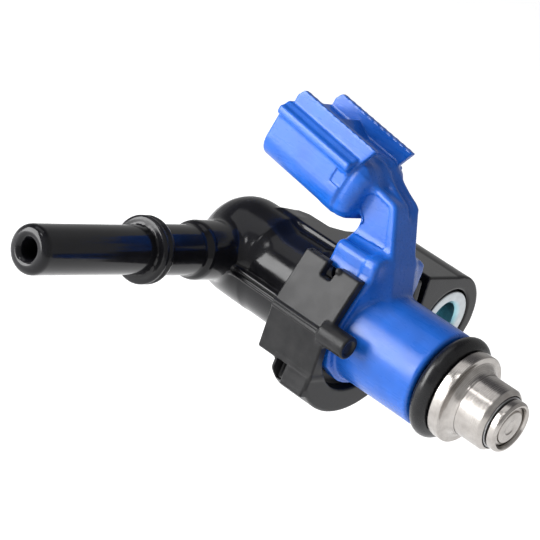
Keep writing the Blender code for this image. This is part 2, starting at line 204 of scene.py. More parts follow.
def sample(field, low, step, blocks):
    """The field on a grid; far from the surface only its sign is kept."""
    middles = np.indices(blocks).reshape(3, -1).T
    value = field(*(low + (middles * BLOCK + 3.5) * step).T)
    grid = np.where(value > 0, 1.0, -1.0).reshape(blocks)
    for axis in range(3):
        grid = np.repeat(grid, BLOCK, axis=axis)
    inside_block = np.indices((BLOCK,) * 3).reshape(3, -1).T
    near = middles[np.abs(value) < BLOCK * step * 1.2]
    for part in np.array_split(near, max(1, len(near) // 400)):
        spots = (part[:, None, :] * BLOCK + inside_block[None]).reshape(-1, 3)
        grid[tuple(spots.T)] = field(*(low + spots * step).T)
    return grid


# %% One point in each crossed cell
def crossed_cells(inside):
    """The cells whose corners lie on both sides of the surface, and a grid that numbers them."""
    crossed = np.zeros(tuple(n - 1 for n in inside.shape), int)
    for corner in np.indices((2, 2, 2)).reshape(3, -1).T:
        crossed += inside[tuple(slice(c, n - 1 + c) for c, n in zip(corner, inside.shape))]
    cells = np.argwhere((crossed > 0) & (crossed < 8))
    number = np.full(crossed.shape, -1)
    number[tuple(cells.T)] = np.arange(len(cells))
    return cells, number


def cell_points(grid, cells):
    """For each cell, the mean of the spots where its edges cross the surface, in grid steps."""
    total, hits = np.zeros((len(cells), 3)), np.zeros(len(cells))
    for axis in range(3):
        for a, b in ((0, 0), (0, 1), (1, 0), (1, 1)):
            first = cells.copy()
            first[:, (axis + 1) % 3] += a
            first[:, (axis + 2) % 3] += b
            second = first.copy()
            second[:, axis] += 1
            f0, f1 = grid[tuple(first.T)], grid[tuple(second.T)]
            hit = (f0 < 0) != (f1 < 0)
            spot = first.astype(float)
            spot[:, axis] += np.where(hit, f0 / np.where(hit, f0 - f1, 1.0), 0.0)
            total += spot * hit[:, None]
            hits += hit
    return total / hits[:, None]


# %% A quad round each crossed edge
def crossed_quads(inside, number):
    """Quads that join the points of the four cells round an edge, all facing out."""
    quads = []
    for axis in range(3):
        u, v = (axis + 1) % 3, (axis + 2) % 3
        lower = np.take(inside, range(inside.shape[axis] - 1), axis)
        upper = np.take(inside, range(1, inside.shape[axis]), axis)
        edges = np.argwhere(lower != upper)
        around = []
        for du, dv in ((-1, -1), (0, -1), (0, 0), (-1, 0)):
            cell = edges.copy()
            cell[:, u] += du
            cell[:, v] += dv
            around.append(number[tuple(cell.T)])
        quad = np.stack(around, 1)
        turn = ~lower[tuple(edges.T)]
        quad[turn] = quad[turn][:, ::-1]
        quads.append(quad)
    return np.concatenate(quads)


# %% Draw the net
MARGIN = 4.3  # empty cells kept all round the piece


def net(field, low, high, step):
    """Points and quads of the surface where the field is zero."""
    low = np.array(low, float) - MARGIN * step
    blocks = tuple(np.ceil((np.array(high) - low + MARGIN * step) / step / BLOCK).astype(int))
    grid = sample(field, low, step, blocks)
    inside = grid < 0
    cells, number = crossed_cells(inside)
    points = low + cell_points(grid, cells) * step
    return settle(field, points, crossed_quads(inside, number), step)


# %% Relax the net onto the surface
def slope(field, points):
    """How fast the field grows along each axis, from two readings a little apart."""
    reach = 0.03
    sides = []
    for axis in range(3):
        shift = np.eye(3)[axis] * reach
        sides.append(field(*(points + shift).T) - field(*(points - shift).T))
    return np.stack(sides, 1) / (2 * reach)


def settle(field, points, quads, step, rounds=2):
    """Moves points onto the surface, evens them out with their neighbours and moves them back."""
    ends = np.concatenate([quads[:, [k, (k + 1) % 4]] for k in range(4)])
    count = np.bincount(ends[:, 0], minlength=len(points)).astype(float)
    count += np.bincount(ends[:, 1], minlength=len(points))
    for turn in range(rounds + 1):
        if turn:
            middle = np.stack([
                np.bincount(ends[:, 0], points[ends[:, 1], axis], len(points))
                + np.bincount(ends[:, 1], points[ends[:, 0], axis], len(points))
                for axis in range(3)
            ], 1) / count[:, None]
            points = points + 0.7 * (middle - points)
        away = slope(field, points)
        size = np.maximum((away ** 2).sum(1), 0.05)
        move = np.clip(field(*points.T), -0.6 * step, 0.6 * step) / size
        points = points - away * move[:, None]
    return points, quads


# %% [markdown]
# ## Putting pieces into the scene
#
# Each piece becomes one object at the origin whose mesh already lies where it belongs. It
# says which body it rides on, which solid it stands for and which finish it takes. The
# finishes come later in the lesson, so a list remembers who wants which.

# %% Which solid takes which finish
FINISH_OF = {
    "fuel_joint": "black_nylon", "mount_bush": "zinc_steel", "retaining_clip": "clip_plastic",
    "injector_housing": "blue_nylon", "terminal_left": "tinned_brass",
    "terminal_right": "tinned_brass", "upper_o_ring": "rubber", "lower_o_ring": "rubber",
    "backup_ring": "bobbin_nylon", "coil_bobbin_tube": "bobbin_nylon",
    "inlet_core": "magnetic_steel", "magnet_case": "magnetic_steel",
    "armature": "magnetic_steel", "valve_seat": "magnetic_steel", "filter_frame": "brass",
    "filter_screen": "stainless", "adjusting_sleeve": "stainless",
    "return_spring": "stainless", "isolating_sleeve": "stainless",
    "valve_needle": "stainless", "nozzle_body": "stainless", "orifice_plate": "stainless",
    "tip_ring": "stainless", "retaining_ring": "stainless", "valve_ball": "ball_steel",
    "coil_winding": "copper",
}
print("solids without a finish:", sorted(set(frame["nodes"]) - set(FINISH_OF)))

# %% Make and register a piece
dressed = []


def stand_for(obj, node):
    """Makes the piece stand for a solid: same body, same finish."""
    body = next(b for b, nodes in frame["record"]["behaviour"]["bodies"].items() if node in nodes)
    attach(obj, body)
    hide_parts(node)
    dressed.append((obj, FINISH_OF[node]))
    return obj


def piece(name, points, faces, sharp_above=40.0):
    """A smooth mesh object from points in millimetres."""
    data = bpy.data.meshes.new(name)
    data.from_pydata((np.asarray(points) * MM).tolist(), [], [list(f) for f in faces])
    data.update()
    data.shade_smooth()
    data.set_sharp_from_angle(angle=radians(sharp_above))
    obj = bpy.data.objects.new(name, data)
    bpy.context.scene.collection.objects.link(obj)
    print(f"{name}: {len(data.vertices)} points, {len(data.polygons)} faces")
    return obj


# %% [markdown]
# ## The fuel joint
#
# The black joint carries fuel from the pipe to the injector. Its long spigot takes a
# quick-connect hose end, which snaps over the bead. The elbow turns the fuel by ninety
# degrees into a socket, where the injector's O-ring seals. A deep arm with a round boss holds
# the steel bush for the bolt. On a real tool the spigot runs into the elbow with a generous
# fillet, so the two fields are blended over a few millimetres.

# %% Outlines of the fuel joint
SOCKET_R, FLANGE_R, ELBOW_ROUND = 8.2, 9.2, 7.6
SPIGOT_R, SPIGOT_BORE_R, COLLAR_R, TIP_ROUND = 4.0, 1.63, 5.0, 1.3
DOME_R, DOME_Z = 8.5, 0.7  # the elbow bulges a little above the socket


def rounded_end(end, radius):
    """Half outline of a turned shape's rounded end, from the axis out."""
    middle = (end + ELBOW_ROUND, radius - ELBOW_ROUND)
    return [(end, 0.0), *arc(middle, ELBOW_ROUND, 180, 90, 12)[1:]]


SOCKET = rounded_end(joint_low[0] + DOME_Z, SOCKET_R) + [(-11.0, 8.4), (-11.0, 0.0)]
DOME = rounded_end(joint_low[0], DOME_R) + [(-21.4, DOME_R), (-19.4, 7.2), (-19.4, 0.0)]
FLANGE = corner_rounded(
    [(-12.0, 0.0), (-12.0, 8.4), (-9.0, 8.4), (-9.0, FLANGE_R), (-5.4, FLANGE_R), (-5.4, 0.0)],
    0.3, 2)
BEAD = [(-29.0, 5.3), (-28.7, 5.6), (-28.1, 5.6), (-27.9, 5.3), (-27.5, 5.3)]
BEAD += [(-27.3, 5.6), (-26.9, 5.6), (-26.3, 5.3), (-25.6, 4.2)]
COLLAR = [(-16.8, 4.2), (-16.2, 4.35), (-15.5, 4.85), (-14.8, COLLAR_R), (0.0, COLLAR_R)]
tip_middle = (SPIGOT_TIP_Y + TIP_ROUND, SPIGOT_R - TIP_ROUND)
SPIGOT = [(SPIGOT_TIP_Y, 0.0), *arc(tip_middle, TIP_ROUND, 180, 90, 6), (-29.1, SPIGOT_R)]
SPIGOT += BEAD + COLLAR + [(0.0, 0.0)]
PASSAGE = [(SPIGOT_TIP_Y - 1.0, 0.0), (SPIGOT_TIP_Y - 1.0, 2.9), (SPIGOT_TIP_Y + 0.1, 2.1)]
PASSAGE += [(SPIGOT_TIP_Y + 0.7, SPIGOT_BORE_R), (0.0, SPIGOT_BORE_R), (0.0, 0.0)]
CHAMBER = [(-31.0, 0.0), (-29.0, 3.4), (-25.6, 3.4), (-25.0, 6.4), (0.0, 6.4), (0.0, 0.0)]
BOSS = corner_rounded([(-15.0, 0.0), (-15.0, 8.7), (0.0, 8.7), (0.0, 0.0)], 0.4)
BUSH_HOLE = [(-27.0, 0.0), (-27.0, 6.0), (-0.3, 6.0), (1.0, 7.3), (1.0, 0.0)]
ARM = [(0.0, 0.0), (0.0, EAR_Y), (-15.5, EAR_Y), (-16.8, 8.9), (-18.2, 6.2), (-22.5, 6.1)]
ARM = corner_rounded(ARM + [(-24.2, 4.6), (-24.7, 0.0)], 0.4)
ARM_Z = (-5.5, 9.55)
CLIP_ROOM = (-11.2, 9.0)  # from where to where on X the clip's far leg has room
RAIL_X = (-25.5, -11.4)
ROOM = [(-14.0, -20.0), (14.4, -20.0), (14.6, 0.0), (12.7, 9.1), (12.7, 13.0), (-14.0, 13.0)]
POCKET = corner_rounded(box_outline(10.4, 15.0, -3.7, 7.2), 1.2)
RAIL = corner_rounded(box_outline(-9.9, 0.0, -1.75, -0.05), 0.3, 2)
print("spigot from Y", round(SPIGOT_TIP_Y, 1), "with a bore of", 2 * SPIGOT_BORE_R, "mm")


# %% Spigot, elbow and ear
def joint_body(x, y, z):
    """The joint's outer shape, before its room for the clip and its bores."""
    socket = turned(SOCKET, x, np.hypot(y, z))
    socket = blend(socket, turned(SPIGOT, y, np.hypot(x - SPIGOT_X, z)), 2.6)
    socket = blend(socket, turned(DOME, x, np.hypot(y, z - DOME_Z)), 1.2)
    # The boss isn't blended with the arm, so the ear's face stays one flat plane
    ear = plate(edge_distance(ARM, x, y), z, *ARM_Z, 0.4)
    ear = np.minimum(ear, turned(BOSS, x, np.hypot(y - EAR_Y, z - EAR_Z)))
    return blend(socket, ear, 1.2)


# %% Flange, rail and bores
def fuel_joint_field(x, y, z):
    across = np.hypot(y, z)
    joint = joint_body(x, y, z)
    joint = cut_out(joint, plate(edge_distance(ROOM, y, z), x, *CLIP_ROOM, 0.2), 0.3)
    joint = blend(joint, turned(FLANGE, x, across), 0.3)
    joint = cut_out(joint, plate(edge_distance(POCKET, y, z), x, -27.0, -13.0, 0.5), 0.5)
    # The rail has a fine groove along its edge
    rail = plate(edge_distance(RAIL, y, z), x, *RAIL_X, 0.3)
    groove = np.maximum(np.abs(z + 0.9) - 0.27, y + 9.5)
    joint = blend(joint, cut_out(rail, groove, 0.2), 0.4)
    joint = cut_out(joint, turned(PASSAGE, y, np.hypot(x - SPIGOT_X, z)), 0.3)
    joint = cut_out(joint, turned(CHAMBER, x, across), 0.3)
    return cut_out(joint, turned(BUSH_HOLE, x, np.hypot(y - EAR_Y, z - EAR_Z)), 0.2)


fuel_joint = stand_for(
    piece("joint_moulding", *net(fuel_joint_field, joint_low, joint_high, 0.27)), "fuel_joint")

# %% [markdown]
# ## The retaining clip
#
# The clip is a saddle of tough plastic pushed on from below. Its two legs run up beside the
# joint, a hoop closes them under the injector, and thin webs drop behind the joint's flange
# and into the injector's groove, so the two can't pull apart. The legs are flat plates with a
# double bead along their widest line, a notch to lift them with a blade, and a round pin in
# front. Fields make the notch's soft edge and the hoop's round rim in a few words.

# %% Outlines of the clip
clip_low, clip_high = box_mm("retaining_clip")
CLIP_X = (-10.9, 0.9)
HOOP_X, HOOP_R = (-7.0, 0.9), 15.3
LEG_Y, BEAD_Z = 12.3, -0.5  # the legs are widest here, and two beads run along the line
LEG = [(11.0, -8.8), (LEG_Y, BEAD_Z), (9.2, 9.4)]
OUTSIDE = corner_rounded(mirrored(LEG), 0.35)
THROAT = mirrored(arc((0.0, 0.0), 10.9, -90, -30, 8) + [(10.5, -0.5), (7.1, 10.3)])
WEB = [(-10.0, -8.7), (10.0, -8.7), (11.0, -0.5), (10.4, 2.5), (-10.4, 2.5), (-11.0, -0.5)]
NOTCH = corner_rounded(box_outline(-6.2, -3.9, 6.9, 13.0), 0.5)
PIN = corner_rounded([(-0.5, 0.0), (-0.5, 2.0), (5.2, 2.0), (5.2, 1.3), (4.8, 1.2), (4.8, 0.0)],
                     0.3)
PIN_YZ = (-11.1, -0.3)
KNOB_AT = (-3.5, -9.3, 9.0)
WEB_R = 8.9  # the webs' slot drops over the joint and the injector
print("clip", clip_low.round(1), clip_high.round(1))


# %% Legs, hoop and webs
def saddle(x, y, z):
    """The clip's plain saddle with its two webs."""
    across, side = np.hypot(y, z), np.abs(y)
    clip = plate(edge_distance(OUTSIDE, y, z), x, *CLIP_X, 0.3)
    hoop = plate(across - HOOP_R, x, *HOOP_X, 0.6)
    hoop = both(hoop, np.maximum(side - 11.0, z + 8.0), 0.4)
    clip = blend(clip, hoop, 0.4)
    # The double bead
    off_line = side - (LEG_Y - np.abs(z - BEAD_Z) * 0.23)
    bead = np.hypot(off_line, np.abs(z - BEAD_Z) - 0.38)
    clip = blend(clip, np.maximum(bead - 0.32, np.abs(x + 5.0) - 5.8), 0.2)
    clip = cut_out(clip, edge_distance(THROAT, y, z), 0.4)
    under = np.maximum(np.maximum(side - 9.2, np.abs(z + 7.75) - 1.75), x + 7.0)
    clip = cut_out(clip, under, 0.3)
    # One web behind the joint's flange, and one with a foot in the injector's groove
    plates = np.maximum(edge_distance(WEB, y, z), np.maximum(CLIP_X[0] - x, x + 9.3))
    foot = np.maximum(edge_distance(WEB, y, np.maximum(z, np.minimum(z + 2.9, -8.6))),
                      np.maximum(-2.6 - x, x + 1.2))
    slot = WEB_R - np.where(z > 0, side, across)
    return blend(clip, both(np.minimum(plates, foot), slot, 0.2), 0.3)


# %% Notch, latch and pin
def clip_field(x, y, z):
    side = np.abs(y)
    clip = saddle(x, y, z)
    # Notch and knob at the near leg's top, and a narrow cut behind them
    clip = cut_out(clip, np.maximum(edge_distance(NOTCH, x, z), y), 0.25)
    knob = np.sqrt(sum((a - b) ** 2 for a, b in zip((x, y, z), KNOB_AT)))
    clip = blend(clip, knob - 0.6, 0.2)
    kerf = np.maximum(np.maximum(np.abs(side - 8.5) - 0.3, 8.7 - z), np.abs(x + 9.4) - 1.0)
    clip = cut_out(clip, kerf, 0.2)
    # Latch tab and its window at the leg's foot
    tab = plate(np.maximum(np.abs(x + 1.9) - 2.4, np.abs(z + 10.2) - 1.8), side, 9.0, 11.1, 0.3)
    clip = blend(clip, tab, 0.3)
    pocket = plate(np.maximum(np.abs(x + 5.35) - 1.05, np.abs(z + 10.4) - 1.8), y, -14.0, -8.6, 0.2)
    clip = cut_out(clip, pocket, 0.25)
    # The pin is cut away beside the injector's flange
    pin = turned(PIN, x, np.hypot(y - PIN_YZ[0], z - PIN_YZ[1]))
    pin = cut_out(pin, np.maximum(np.abs(x - 0.6) - 0.9, -10.15 - y), 0.2)
    return blend(clip, pin, 0.5)


clip = stand_for(
    piece("clip_moulding", *net(clip_field, clip_low, clip_high, 0.2)), "retaining_clip")

# %% [markdown]
# ## The blue housing
#
# The coil and its core are overmoulded with blue glass-filled nylon in one shot: the round
# body, a flange that fills the clip's mouth, a neck and the connector's shell. The neck is
# only seven millimetres wide and has a recessed panel in each side, so the wall stays even
# and doesn't sink as it cools. The connector tilts up eight degrees. It is easiest to draw in
# its own directions, across, up and along, which two lines of sines and cosines give.

# %% Directions of the connector
TILT = radians(8.2)
REAR_X, REAR_Z = -10.0, 20.1  # where the shell's axis leaves its back wall


def connector_axes(x, z):
    """How far along and how far up a point is in the connector."""
    along = (REAR_X - x) * cos(TILT) + (z - REAR_Z) * sin(TILT)
    up = (x - REAR_X) * sin(TILT) + (z - REAR_Z) * cos(TILT)
    return along, up


# %% Outlines of the housing
BODY_R, CASE_R, FRONT_FLANGE = 8.5, 7.3, (-0.9, 1.2)
BODY = corner_rounded([(-18.1, 0.0), (-18.1, 6.1), (-4.9, 6.1), (-4.9, 9.2), (-2.9, 9.2),
                       (-2.9, BODY_R), (16.4, BODY_R), (16.8, 8.1), (16.8, 0.0)], 0.25, 2)
KEYSTONE = arc((0.0, 0.0), 9.5, -90, -55, 4)
KEYSTONE += [(8.0, -6.3), (9.2, -3.9), (9.7, -1.0), (9.7, 0.9), (7.0, 9.9), (7.0, 11.6)]
KEYSTONE += [(6.6, 12.6), (5.4, 13.2), (0.0, 13.4)]
SHOULDER = corner_rounded(mirrored([(0.0, 6.0), (7.2, 8.5), (6.9, 9.9), (6.9, 12.2), (6.2, 13.0),
                                    (0.0, 13.2)]), 0.5)
NECK = corner_rounded(
    [(3.2, 0.0), (3.9, 7.6), (1.4, 13.6), (-2.1, 21.6), (-9.0, 23.2), (-11.5, 23.4),
     (-11.5, 19.4), (-8.6, 18.4), (-7.3, 16.4), (-7.7, 13.2), (-8.4, 10.9), (-5.0, 9.4),
     (-4.6, 0.0)], 0.9)
GUSSET = [(-2.3, 21.0), (-3.2, 21.9), (-9.6, 25.6), (-11.5, 25.6), (-11.5, 20.0), (-5.0, 19.0)]
PANEL = corner_rounded(
    [(-0.9, 14.2), (-3.3, 20.7), (-8.4, 21.6), (-11.6, 21.6), (-11.0, 17.6), (-8.4, 18.0),
     (-6.6, 16.4), (-8.6, 13.6)], 0.4, 2)
RIB = corner_rounded([(7.0, 0.0), (7.0, 2.7), (7.95, 2.9), (7.95, 4.3), (7.0, 4.6), (6.4, 5.3),
                      (0.0, 5.3)], 0.35, 2)[3:-3]
SHELL = mirrored([(0.0, -5.3), *arc((3.4, -1.7), 3.6, -90, 0, 8), *RIB, (0.0, 5.3)])
REAR_END = corner_rounded(mirrored([(0.0, -5.1), (6.5, -5.1), (6.5, 5.2), (0.0, 5.2)]), 3.2)
NECK_HALF, SHELL_END, MOUTH_START = 3.5, 18.5, 4.0
MOUTH = corner_rounded(box_outline(-5.5, 5.5, -4.1, 3.9), 1.2)


# %% Neck and flange
def neck_field(x, y, z):
    """The round body, its front flange, the shoulder and the neck with its panels."""
    side = np.abs(y)
    body = turned(BODY, x, np.hypot(y, z))
    # The flange's front sweeps forwards in the middle, so it runs on into the neck
    sweep = np.clip((7.6 - side) / 4.6, 0.0, 1.0) * np.clip(2.4 - 0.42 * (z - 7.6), 0.0, 2.4)
    sweep = sweep * np.clip(z / 4.0, 0.0, 1.0)
    forward = np.maximum(x - sweep, np.minimum(x, 0.0))
    flange = plate(edge_distance(mirrored(KEYSTONE), y, z), forward, *FRONT_FLANGE, 0.35)
    body = blend(body, flange, 0.5)
    shoulder = plate(edge_distance(SHOULDER, y, z), x, -7.8, 1.2, 0.9)
    neck = plate(edge_distance(NECK, x, z), y, -NECK_HALF, NECK_HALF, 0.7)
    panel = plate(edge_distance(PANEL, x, z), side, 3.1, 6.0, 0.1)
    neck = cut_out(neck, panel, 0.2)
    # A web on one side runs up into the connector, with a groove along it
    gusset = plate(edge_distance(GUSSET, x, z), y, -0.8, NECK_HALF, 0.6)
    neck = blend(neck, gusset, 0.8)
    run = (z - 21.9) * 0.866 + (x + 3.2) * 0.5
    groove = np.hypot(y - 1.3, run) - 0.9
    neck = cut_out(neck, groove, 0.6)
    neck = blend(neck, shoulder, 2.0)
    return blend(body, neck, 1.1)


# %% Connector shell with its ribs and guide fins
def connector_field(x, y, z):
    """The shell, the mouth to be cut from it, and the point's place along and up it."""
    along, up = connector_axes(x, z)
    side = np.abs(y)
    shell = plate(edge_distance(SHELL, y, up), along, 1.2, SHELL_END, 0.5)
    shell = blend(shell, plate(edge_distance(REAR_END, y, up), along, -2.0, 6.0, 2.6), 0.6)
    # Guide fins, with both ends cut at a slant
    fin = plate(np.maximum(np.abs(side - 5.4) - 0.55, np.abs(up - 6.2) - 2.0), along, -2.0, 17.7,
                0.22)
    slant = np.maximum((0.7 - along) * 0.93 - (up - 5.3) * 0.36,
                       (up - 8.2) * 0.5 + (along - 9.15) * 0.87 - 6.8)
    fin = both(fin, slant, 0.15)
    shell = blend(shell, fin, 0.4)
    # The latch's ramp between them
    wedge = np.maximum((up - 5.2) * 0.919 - (along - 8.0) * 0.394, 4.4 - up)
    ramp = plate(np.maximum(side - 4.95, wedge), along, 8.0, 11.5, 0.15)
    shell = blend(shell, ramp, 0.2)
    # A shallow patch in each side
    sink = np.maximum(np.maximum(np.abs(along - 2.5) - 1.1, np.abs(up - 0.9) - 1.2), 6.8 - side)
    shell = cut_out(shell, sink, 0.2)
    mouth = plate(edge_distance(MOUTH, y, up), along, MOUTH_START, 22.0, 0.3)
    return shell, mouth, along, up


# %% The housing as one field
def housing_field(x, y, z):
    shell, mouth, along, up = connector_field(x, y, z)
    housing = blend(neck_field(x, y, z), shell, 1.4)
    housing = cut_out(housing, mouth, 0.4)
    slots = np.maximum(np.maximum(np.abs(np.abs(y) - 2.2) - 0.95, np.abs(up) - 0.7),
                       np.abs(along - 3.0) - 2.0)
    housing = cut_out(housing, slots, 0.2)
    across = np.hypot(y, z)
    bore = np.maximum(across - np.where(x < -3.0, 3.8, CASE_R), -19.0 - x)
    return cut_out(housing, bore, 0.2)


housing_low, housing_high = box_mm("injector_housing")
housing = stand_for(
    piece("housing_moulding", *net(housing_field, housing_low, housing_high, 0.22)),
    "injector_housing")

# %% [markdown]
# ## Turned metal and rubber
#
# The nozzle, its rings and the bush come off a lathe, so each is an outline spun about an
# axis. Many flats make them round, and every corner of the outline gets a small curve,
# because a turned edge is always broken and it is that thin bright line that makes metal
# look real. The nozzle barrel runs on the injector's axis, the bush on the ear's.

# %% A lathe for outlines
def lathe(outline, centre=(0.0, 0.0), flats=120):
    """Points and faces of an outline of (station, radius) spun about a line along X."""
    points, rings, faces = [], [], []
    for station, radius in outline:
        count = flats if radius > 0 else 1
        turn = 2 * pi * np.arange(count) / flats
        rings.append(len(points) + np.arange(count))
        points += [(station, centre[0] + radius * cos(a), centre[1] + radius * sin(a)) for a in turn]
    pairs = list(zip(rings, rings[1:]))
    if not outline_touches_axis(outline):
        pairs.append((rings[-1], rings[0]))
    for first, second in pairs:
        for i in range(flats):
            j = (i + 1) % flats
            corners = [first[i % len(first)], first[j % len(first)],
                       second[j % len(second)], second[i % len(second)]]
            face = list(dict.fromkeys(int(c) for c in corners))
            if len(face) > 2:
                faces.append(face)
    starts = np.array(outline)
    ends = np.roll(starts, -1, axis=0)
    area = (starts[:, 0] * ends[:, 1] - ends[:, 0] * starts[:, 1]).sum()
    return np.array(points), [f[::-1] for f in faces] if area < 0 else faces


# %% Nozzle, rings and bush
BARREL_R, BARREL_END, TIP_END = 5.5, 29.6, 31.6
TURNED = {  # an outline of stations and radii, and how far its corners are broken
    "nozzle_body": ([(12.7, 6.6), (14.8, 6.6), (14.8, BARREL_R), (28.9, BARREL_R),
                     (BARREL_END, 4.9), (BARREL_END, 4.75), (25.2, 4.75), (25.2, 2.6),
                     (15.0, 2.6), (14.4, 4.35), (12.7, 4.35)], 0.16),
    "tip_ring": ([(30.1, 4.5), (31.2, 4.5), (TIP_END, 4.2), (TIP_END, 3.8), (31.1, 3.6),
                  (30.6, 3.6), (30.6, 3.0), (30.1, 3.0)], 0.14),
    "orifice_plate": ([(30.7, 0.0), (30.7, 3.4), (30.9, 3.4), (30.95, 2.9), (31.3, 2.8),
                       (31.3, 1.4), (31.15, 1.1), (31.15, 0.0)], 0.1),
    "retaining_ring": ([(20.7, 7.8), (22.7, 7.8), (22.7, 6.9), (22.9, 6.3), (23.3, 5.9),
                        (23.8, 5.66), (24.3, 5.58), (24.3, 5.55), (20.7, 5.55)], 0.15),
    "mount_bush": ([(-15.2, 5.7), (0.0, 5.7), (0.0, 4.0), (-0.6, 3.3), (-14.6, 3.3),
                    (-15.2, 4.0)], 0.18),
    "valve_seat": ([(25.5, 4.6), (29.8, 4.6), (29.8, 0.7), (29.55, 0.85), (28.2, 2.08),
                    (25.5, 2.08)], 0.1),
    "inlet_core": ([(-24.4, 5.4), (-23.6, 5.7), (-23.3, 5.7), (-23.3, 3.6), (6.0, 3.6),
                    (6.0, 1.9), (-13.0, 1.9), (-14.0, 2.9), (-24.4, 2.9)], 0.14),
}
for name, (outline, edge) in TURNED.items():
    axis = (EAR_Y, EAR_Z) if name == "mount_bush" else (0.0, 0.0)
    shape = lathe(corner_rounded(outline, edge, 3), axis)
    stand_for(piece(name + "_turned", *shape, sharp_above=50.0), name)

# %% [markdown]
# ## O-rings
#
# An O-ring is a torus, a little flattened where it sits in its groove. The lower one seals
# the injector in its port and is the widest thing on the nozzle end. Its largest diameter is
# left a hair flat, where the line between the two halves of the mould was trimmed off.

# %% Both O-rings
SECTION_POINTS, CROWN, TRIM = 40, (9, 10), 0.04
for name, inner in (("lower_o_ring", 5.7), ("upper_o_ring", 3.75)):
    low, high = box_mm(name)
    outer = high[1]
    middle, half_x, half_r = (low[0] + high[0]) / 2, (high[0] - low[0]) / 2, (outer - inner) / 2
    section = []
    for k in range(SECTION_POINTS):
        a = 2 * pi * (k + 0.5) / SECTION_POINTS
        stands_out = half_r + (TRIM if k in CROWN else 0.0)
        section.append((middle + half_x * cos(a), min(inner + half_r + stands_out * sin(a), outer)))
    stand_for(piece(name + "_moulded", *lathe(section)), name)

# %% [markdown]
# ## Terminals
#
# Two tinned blades stand in the connector's mouth. Each is stamped from strip, so its long
# edges are straight and its tip is pinched to guide the socket. A small lofted bar does it:
# four corners at each station, smaller at the tip.

# %% Two blades
for name, side in (("terminal_left", -1), ("terminal_right", 1)):
    points, faces = [], []
    stations = [(1.4, 0.6, 0.35), (11.0, 0.6, 0.35), (11.7, 0.48, 0.22), (12.0, 0.36, 0.12)]
    for along, half_w, half_h in stations:
        for u, v in ((-1, -1), (1, -1), (1, 1), (-1, 1)):
            up = v * half_h
            points.append((REAR_X - along * cos(TILT) + up * sin(TILT), side * 2.2 + u * half_w,
                           REAR_Z + along * sin(TILT) + up * cos(TILT)))
    for row in range(len(stations) - 1):
        for k in range(4):
            j = (k + 1) % 4
            faces.append((4 * row + k, 4 * row + j, 4 * row + 4 + j, 4 * row + 4 + k))
    faces += [(3, 2, 1, 0), tuple(len(points) - 4 + k for k in range(4))]
    blade = piece(name + "_blade", points, faces, 25.0)
    shape = bmesh.new()
    shape.from_mesh(blade.data)
    bmesh.ops.recalc_face_normals(shape, faces=shape.faces)
    bmesh.ops.bevel(shape, geom=shape.edges[:], offset=0.06 * MM, segments=2, affect="EDGES")
    shape.to_mesh(blade.data)
    shape.free()
    blade.data.shade_smooth()
    stand_for(blade, name)

# %% [markdown]
# ## Finishes
#
# A finish is a small network of nodes. Object coordinates are used all through, because a
# piece's mesh lies where the real part does, so a noise of a given size means the same on
# every piece. Colour moves a little, roughness moves a little more, and a shallow bump gives
# the skin that moulding or turning leaves. Values that don't change over a surface are set
# straight on the shader.

# %% Helpers for finishes
def size_mm(feature):
    """Noise scale for a feature of this size, since coordinates are in metres."""
    return 1.0 / (feature * MM)


class Finish:
    """One material and short ways to add nodes to it."""

    def __init__(self, name, metallic=0.0, shine=0.5):
        self.made = bpy.data.materials.new(name)
        self.made.use_nodes = True
        self.nodes, self.links = self.made.node_tree.nodes, self.made.node_tree.links
        self.shader = self.nodes["Principled BSDF"]
        self.shader.inputs["Metallic"].default_value = metallic
        self.shader.inputs["Specular IOR Level"].default_value = shine
        self.where = self.nodes.new("ShaderNodeTexCoord").outputs["Object"]

    def add(self, kind, values=(), inputs=(), **settings):
        node = self.nodes.new("ShaderNode" + kind)
        for key, value in settings.items():
            setattr(node, key, value)
        for key, value in dict(values).items():
            node.inputs[key].default_value = value
        for key, source in dict(inputs).items():
            self.links.new(source, node.inputs[key])
        return node

    def stretched(self, x, y, z):
        return self.add("Mapping", {"Scale": (x, y, z)}, {"Vector": self.where}).outputs[0]

    def noise(self, feature, detail=3.0, where=None):
        values = {"Scale": size_mm(feature), "Detail": detail}
        node = self.add("TexNoise", values, {"Vector": where or self.where})
        return node.outputs["Fac"]

    def between(self, factor, low, high, start=0.3, end=0.7):
        values = {"From Min": start, "From Max": end, "To Min": low, "To Max": high}
        return self.add("MapRange", values, {"Value": factor}).outputs["Result"]

    def colours(self, factor, first, second, start=0.3, end=0.7):
        node = self.add("ValToRGB", (), {"Fac": factor})
        for stop, place, colour in zip(node.color_ramp.elements, (start, end), (first, second)):
            stop.position, stop.color = place, (*colour, 1.0)
        return node.outputs["Color"]

    def bump(self, height, depth_mm, strength=1.0, over=None):
        inputs = {"Height": height}
        if over:
            inputs["Normal"] = over
        node = self.add("Bump", {"Strength": strength, "Distance": depth_mm * MM}, inputs)
        return node.outputs["Normal"]

    def wear(self, colour=None, roughness=None, normal=None):
        for key, source in (("Base Color", colour), ("Roughness", roughness), ("Normal", normal)):
            if source:
                self.links.new(source, self.shader.inputs[key])
        return self.made

    def lathe_marks(self, centre=(0.0, 0.0), ring=0.09):
        """Fine rings about a line along X, as a turning tool leaves them."""
        shift = self.add("VectorMath", (), {0: self.where}, operation="SUBTRACT")
        shift.inputs[1].default_value = (0.0, centre[0] * MM, centre[1] * MM)
        parts = self.add("SeparateXYZ", (), {0: shift.outputs[0]})
        flat = self.add("CombineXYZ", (), {1: parts.outputs[1], 2: parts.outputs[2]})
        radius = self.add("VectorMath", (), {0: flat.outputs[0]}, operation="LENGTH")
        rings = self.add("CombineXYZ", (), {0: parts.outputs[0], 1: radius.outputs["Value"]})
        values = {"Scale": size_mm(ring), "Detail": 2.0}
        node = self.add("TexNoise", values, {"Vector": rings.outputs[0]}, noise_dimensions="2D")
        return node.outputs["Fac"], radius.outputs["Value"]


